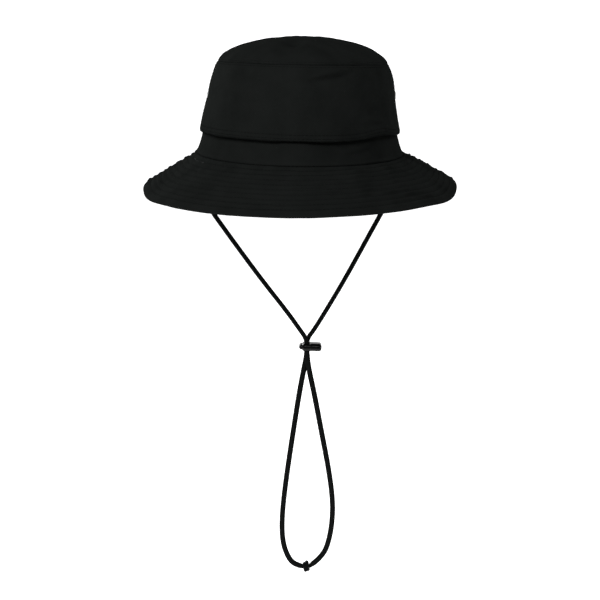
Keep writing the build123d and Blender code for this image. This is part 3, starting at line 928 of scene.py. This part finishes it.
def tip_mesh(name):
    """The dome: closed rings, with a fan at the centre on each face."""
    angle, along = np.meshgrid(oval_angles(0, math.tau, 321)[:-1], tip.at, indexing="ij")
    outer = tip.place(angle, along)
    inner = outer - tip.normal(tip.place, angle, along) * CLOTH
    outer, inner = outer.transpose(1, 0, 2), inner.transpose(1, 0, 2)
    rows, columns = outer.shape[:2]
    count = rows * columns
    top_faces = quads(rows, columns, closed=True)[:, ::-1]
    faces = [list(f) for f in top_faces] + [list(f) for f in top_faces[:, ::-1] + count]
    for i in range(columns):
        j = (i + 1) % columns
        a, b = (rows - 1) * columns + i, (rows - 1) * columns + j
        faces.append([2 * count, i, j])
        faces.append([2 * count + 1, j + count, i + count])
        faces.append([a, a + count, b + count, b])
    points = np.concatenate([
        outer.reshape(-1, 3), inner.reshape(-1, 3), [outer[0].mean(axis=0)], [inner[0].mean(axis=0)]
    ])
    flat = points.copy()
    flat[:, 2] = 0
    return mesh_from(name, points, faces, flat)


add_to_hat(tip_mesh("crown_tip_cloth"), shell_cloth, "crown_tip")

# ---- lower band: swells above the brim seam and tucks in behind the hem ----
BAND_SWELL = (81.4 * MM, 15.0 * MM)
BAND_TUCK = (80.0 * MM, 18.5 * MM)
band_line = [(SEAM_HALF_WIDTH - 0.2 * MM, -1.2 * MM)]
band_line += [tuple(p) for p in bow((SEAM_HALF_WIDTH, 0.0), (82.9 * MM, 9 * MM), BAND_SWELL)]
band_line += [tuple(p) for p in bow(BAND_SWELL, (81.0 * MM, 17.2 * MM), BAND_TUCK)[1:]]
band_line += [(79.2 * MM, band_high.z)]
BAND_ROW = 1.8 * MM


def band_shape(angle, along, across, base):
    to_side = side_distance(angle, band.reference)
    push = 0.25 * MM * rumple(across, along, 31, 30 * MM, 90 * MM)
    push += 0.08 * MM * rumple(across, along, 32, 9 * MM, 22 * MM)
    push = push * smooth(along / (5 * MM)) * smooth(to_side / (6 * MM))
    # the cloth rolls over above the brim seam, and shades it
    push += 0.8 * MM * hump(along - 2.4 * MM, 1.1 * MM)
    push += 1.8 * seam_dip(along) + seam_dip(to_side) + row_dip(along - BAND_ROW)
    push += crease(base, (30 * MM, 8 * MM), (62 * MM, 13 * MM), 0.6 * MM, 2.6 * MM)
    return push, lean(base)


band = Cloth(band_line, 1.0 * MM, crown_point, band_shape)
for end, (start, stop) in (("front", FRONT), ("back", BACK)):
    name = f"lower_band_{end}"
    mesh = band.mesh(name + "_cloth", oval_angles(start, stop, 230), CLOTH)
    add_to_hat(mesh, shell_cloth, name)

# ---- brim ----
BRIM_ROWS = 9
ROW_PITCH = 5.25 * MM
BRIM_THICKNESS = 1.9 * MM
BRIM_CLOTH = 0.45 * MM
CORE_DEPTH = 1.0 * MM
CORE_CLOTH = 0.15 * MM
CORE_MARGIN = 3 * MM
EDGE_ROUND = BRIM_THICKNESS / 2
BRIM_LENGTH = math.hypot(BRIM_HALF_WIDTH - SEAM_HALF_WIDTH, BRIM_EDGE)
brim_way = ((BRIM_HALF_WIDTH - SEAM_HALF_WIDTH) / BRIM_LENGTH, BRIM_EDGE / BRIM_LENGTH)
brim_up = (-brim_way[1], brim_way[0])
SEAM_ALLOWANCE = 1.3 * MM
BRIM_TILT = 1.0 * MM
# where the edge lifts or droops: (turn from the wearer's left, amount, spread of the turn)
BRIM_WAVES = (
    (0, 3.0 * MM, 18), (180, 3.0 * MM, 18), (200, -2.0 * MM, 13), (232, -0.4 * MM, 16),
    (270, -0.9 * MM, 25), (306, -0.8 * MM, 18), (336, -2.9 * MM, 14), (60, 1.2 * MM, 24),
    (118, -1.0 * MM, 26),
)
BRIM_SIDE_SWELL = 0.4 * MM
RIDGE_ANGLE = math.radians(350)
RIDGE_WIDTH = 2.0 * MM
RIDGE_HEIGHT = 1.5 * MM


def brim_place(along, depth):
    """Outline point at a length from the brim seam and a depth below the upper face."""
    x = SEAM_HALF_WIDTH + brim_way[0] * along - brim_up[0] * depth
    return x, brim_way[1] * along - brim_up[1] * depth


def brim_line(depth):
    """Line of a brim face at a depth below the upper face, rounding in at the edge."""
    reach = BRIM_LENGTH - EDGE_ROUND
    points = [(s, depth) for s in np.linspace(-SEAM_ALLOWANCE, reach, 40)]
    for t in np.linspace(0, math.pi / 2, 9)[1:]:
        middle = EDGE_ROUND + (depth - EDGE_ROUND) * math.cos(t)
        points.append((reach + EDGE_ROUND * math.sin(t), middle))
    return [brim_place(*point) for point in points]


def brim_swing(angle, along, base):
    """How far the soft brim lifts or droops, from nothing at its seam."""
    share = np.clip(along / BRIM_LENGTH, 0, 1)
    edge = BRIM_TILT * np.cos(angle)
    for turn, amount, spread in BRIM_WAVES:
        edge = edge + amount * hump(turn_between(angle, math.radians(turn)), math.radians(spread))
    sides = np.abs(np.cos(angle)) ** 3
    swell = 4 * share * (1 - share) * BRIM_SIDE_SWELL * sides
    return smooth(share) * edge + swell + lean(base)[..., 2] * (1 - smooth(along / (9 * MM)))


def brim_shape(cloth_side, angle, along, across, base):
    """Stitched channels: each row pulls the cloth down, and the cloth puckers between rows."""
    cloth = brim_faces[cloth_side]
    from_edge = cloth.at[-1] - along
    to_side = side_distance(angle, cloth.reference)
    inside = smooth(along / (4 * MM)) * smooth(from_edge / (4 * MM))
    push = 0.08 * MM * rumple(across, along, 42, 20 * MM, 70 * MM) * inside
    for row in range(1, BRIM_ROWS + 1):
        pull = np.clip(1 + 0.5 * rumple(across, 0 * along, 60 + row, 14 * MM, 50 * MM, 8), 0.3, 1.5)
        push += row_dip(along - row * ROW_PITCH, 0.42 * MM, 1.05 * MM) * pull
    channel = np.floor(along / ROW_PITCH)
    pucker = rumple(across + channel * 37 * MM, channel, 41, 8 * MM, 30 * MM)
    between = np.sin(math.pi * np.mod(along, ROW_PITCH) / ROW_PITCH) ** 2
    push += 0.65 * MM * np.clip(0.7 + pucker, 0, 2) * between * inside
    # the side seams' folded allowances raise a low ridge behind each seam line
    push += (0.6 * seam_dip(to_side) + 0.5 * MM * hump(to_side - 3 * MM, 2.0 * MM)) * inside
    push += (1.6 if cloth_side == "top" else 0.4) * seam_dip(along)
    if cloth_side == "top":
        # a soft ridge just in front of the wearer's left side seam
        beside = turn_between(angle, RIDGE_ANGLE) * cloth.reference
        ridge = hump(beside, RIDGE_WIDTH) * smooth(along / (6 * MM)) * smooth((38 * MM - along) / (9 * MM))
        push += RIDGE_HEIGHT * ridge
    shift = np.zeros(base.shape)
    shift[..., 2] = brim_swing(angle, along, base)
    return push, shift


def core_shape(angle, along, across, base):
    shift = np.zeros(base.shape)
    shift[..., 2] = brim_swing(angle, along, base)
    return np.zeros(shift.shape[:-1]), shift


brim_faces = {
    "top": Cloth(brim_line(0.0), 0.9 * MM, brim_point,
                 lambda *place: brim_shape("top", *place), side=-1),
    "under": Cloth(brim_line(BRIM_THICKNESS), 0.9 * MM, brim_point,
                   lambda *place: brim_shape("under", *place)),
}
brim_sewing = Sewing()
for skin, material, slot in (("top", shell_cloth, "shell_cloth"), ("under", under_cloth, "under_cloth")):
    cloth = brim_faces[skin]
    for end, (start, stop) in (("front", FRONT), ("back", BACK)):
        name = f"brim_{skin}_{end}"
        mesh = cloth.mesh(name + "_cloth", oval_angles(start, stop, 360), BRIM_CLOTH)
        add_to_hat(mesh, material, name)
    for row in range(1, BRIM_ROWS + 1):
        brim_sewing.row(cloth, oval_angles(0, math.tau, 900), row * ROW_PITCH)
brim_sewing.finish("brim_stitching", thread)

core_line = [brim_place(s, CORE_DEPTH) for s in (CORE_MARGIN, BRIM_LENGTH - CORE_MARGIN)]
core = Cloth(core_line, 2.5 * MM, brim_point, core_shape, side=-1)
core_mesh = core.mesh("brim_interlining_felt", oval_angles(0, math.tau, 361), CORE_CLOTH)
add_to_hat(core_mesh, felted, "brim_interlining")

# ---- crown stitching ----
crown_sewing = Sewing()
full_round = oval_angles(0, math.tau, 900)
crown_sewing.row(tip, full_round, tip.at[-1] - TOPSTITCH)
crown_sewing.row(wall, full_round, wall.at[-1] - TOPSTITCH)
crown_sewing.row(band, full_round, BAND_ROW)
for row in HEM_ROWS:
    crown_sewing.row(wall, full_round, HEM_TURN + row)
beside = TOPSTITCH / (wall.reference * OVAL)
up = np.linspace(HEM_TURN + 6 * MM, wall.at[-1] - 3 * MM, 120)
for seam_angle in (0.0, math.pi):
    for way in (-1, 1):
        crown_sewing.row(wall, np.mod(seam_angle + way * beside, math.tau) + 0 * up, up)
crown_sewing.finish("crown_stitching", thread)

# ---- inside ----
mesh_low, mesh_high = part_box("vent_mesh")
sweat_low, sweat_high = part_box("sweatband")


def lining_shape(angle, along, across, base):
    return 0.15 * MM * rumple(across, along, 51, 12 * MM, 60 * MM), lean(base)


LININGS = {
    "sweatband": (
        [(85.2 * MM, sweat_low.z), (79.6 * MM, 17.5 * MM), (77.5 * MM, sweat_high.z)],
        0.8 * MM, tricot, "sweatband"),
    "tip_seam_tape": (
        [(71.8 * MM, 65.2 * MM), (69.3 * MM, 72.6 * MM)],
        0.5 * MM, tape_cloth, "tape"),
}
for name, (line, thickness, material, slot) in LININGS.items():
    cloth = Cloth(line, 1.2 * MM, crown_point, lining_shape)
    mesh = cloth.mesh(name + "_cloth", oval_angles(0, math.tau, 361), thickness)
    add_to_hat(mesh, material, name)

# Warp-knitted nets have holes of about 1 mm; these are 1.7 mm across so that they can be told apart.
NET_STEP = 0.85 * MM
NET_STRAND = 0.4 * MM
net = Cloth([(mesh_high.x - 0.2 * MM, mesh_low.z), (76.8 * MM, mesh_high.z)],
            NET_STEP, crown_point, lining_shape)


def net_mesh(name):
    """Net: rows of square holes, every other row moved along by half a hole."""
    columns = 4 * int(oval_length(math.tau) * net.reference / NET_STEP / 4)
    angle, along = np.meshgrid(oval_angles(0, math.tau, columns + 1)[:-1], net.at, indexing="ij")
    outer = net.place(angle, along)
    inner = outer - net.normal(net.place, angle, along) * NET_STRAND
    rows = len(net.at)
    count = columns * rows

    def solid(i, j):
        """Whether cell i round and j up is strand and not hole."""
        if j < 1 or j > rows - 3:
            return 0 <= j < rows - 1
        moved = i + 2 * ((j - 1) // 3 % 2)
        return (j - 1) % 3 == 2 or moved % 4 >= 2

    def corner(i, j, under=0):
        return (i % columns) * rows + j + under * count

    faces = []
    for i in range(columns):
        for j in range(rows - 1):
            if not solid(i, j):
                continue
            a, b, c, d = (i, j), (i + 1, j), (i + 1, j + 1), (i, j + 1)
            faces.append([corner(*a), corner(*b), corner(*c), corner(*d)])
            faces.append([corner(*d, 1), corner(*c, 1), corner(*b, 1), corner(*a, 1)])
            beside = (((i, j - 1), a, b), ((i + 1, j), b, c), ((i, j + 1), c, d), ((i - 1, j), d, a))
            for other, start, stop in beside:
                if not solid(*other):
                    faces.append([corner(*stop), corner(*start), corner(*start, 1), corner(*stop, 1)])
    flat = np.stack([oval_length(angle) * net.reference, along, 0 * along], axis=-1)
    points = np.concatenate([outer.reshape(-1, 3), inner.reshape(-1, 3)])
    mesh = mesh_from(name, points, faces, np.concatenate([flat.reshape(-1, 3)] * 2))
    drop_loose_points(mesh)
    return mesh


add_to_hat(net_mesh("vent_mesh_net"), knit, "vent_mesh")

side_tape = Cloth(
    [(77.4 * MM, 44.5 * MM), (76.3 * MM, 49.0 * MM), (73.2 * MM, 62.5 * MM)],
    1.2 * MM, crown_point, lining_shape)
for name, middle_angle in (("left", 0.0), ("right", math.pi)):
    spread = 6 * MM / (side_tape.reference * OVAL)
    angles = np.linspace(middle_angle - spread, middle_angle + spread, 12)
    mesh = side_tape.mesh(f"side_seam_tape_{name}_cloth", angles, 0.5 * MM)
    add_to_hat(mesh, tape_cloth, f"side_seam_tape_{name}")

# ---- CAD pieces that stay, with their own materials ----
KEPT = {
    "cord_lock_body": acetal,
    "cord_lock_plunger": acetal,
    "cord_lock_spring": wire,
}
for name, material in KEPT.items():
    for place in frame["nodes"][name].material_slots:
        place.material = material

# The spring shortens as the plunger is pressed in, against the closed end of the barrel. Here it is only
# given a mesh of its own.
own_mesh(bpy.data.objects["cord_lock_spring"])

# ---- floor, backdrop and light ----
FLOOR_DROP = 45 * MM


def light_paper():
    """White paper lit from below as well as above, so that it stays pure white behind the hat."""
    paper = speckled("paper_matt_white_backlit", "#ffffff", "#fbfbfb", 60.0, 0.9, 0.0)
    shader = paper.node_tree.nodes["Principled BSDF"]
    shader.inputs["Emission Color"].default_value = linear("#ffffff")
    shader.inputs["Emission Strength"].default_value = 0.74
    return paper


def sweep():
    """Floor that curves up behind into a backdrop."""
    low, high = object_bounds()
    floor = low[2] - FLOOR_DROP
    half, front, back, radius, top = 1.3, -0.6, 2.2, 0.6, 1.3
    line = [(front, floor), (back - radius, floor)]
    for t in np.linspace(0, math.pi / 2, 16)[1:]:
        line.append((back - radius + radius * math.sin(t), floor + radius * (1 - math.cos(t))))
    line.append((back, top))
    points = np.array([[(x, y, z) for y, z in line] for x in (-half, half)])
    mesh = mesh_from("paper_sweep", points, quads(2, len(line)))
    mesh.shade_smooth()
    mesh.materials.append(light_paper())
    paper = bpy.data.objects.new("paper_sweep", mesh)
    scene.collection.objects.link(paper)


def area_light(name, place, target, size, power):
    light = bpy.data.lights.new(name, "AREA")
    light.shape = "RECTANGLE"
    light.size, light.size_y = size
    light.energy = power
    lamp = bpy.data.objects.new(name, light)
    lamp.location = place
    way = Vector(target) - Vector(place)
    lamp.rotation_euler = way.to_track_quat("-Z", "Y").to_euler()
    scene.collection.objects.link(lamp)


sweep()
world = bpy.data.worlds.new("studio")
world.use_nodes = True
world.node_tree.nodes["Background"].inputs["Color"].default_value = linear("#ffffff")
world.node_tree.nodes["Background"].inputs["Strength"].default_value = 0.15
scene.world = world
area_light("key_front_left", (-0.85, -1.2, 1.15), (0, 0, 0), (0.9, 0.9), 13)
area_light("strip_front_high", (0, -1.15, 0.9), (0, 0, -0.1), (0.9, 0.06), 3.5)
area_light("edge_strip_left", (-0.75, 0.85, 0.25), (-0.05, 0, 0.06), (0.2, 0.6), 11)
area_light("edge_strip_right", (0.8, 0.75, 0.2), (0.05, 0, 0.05), (0.15, 0.6), 5)
scene.view_settings.view_transform = "Standard"
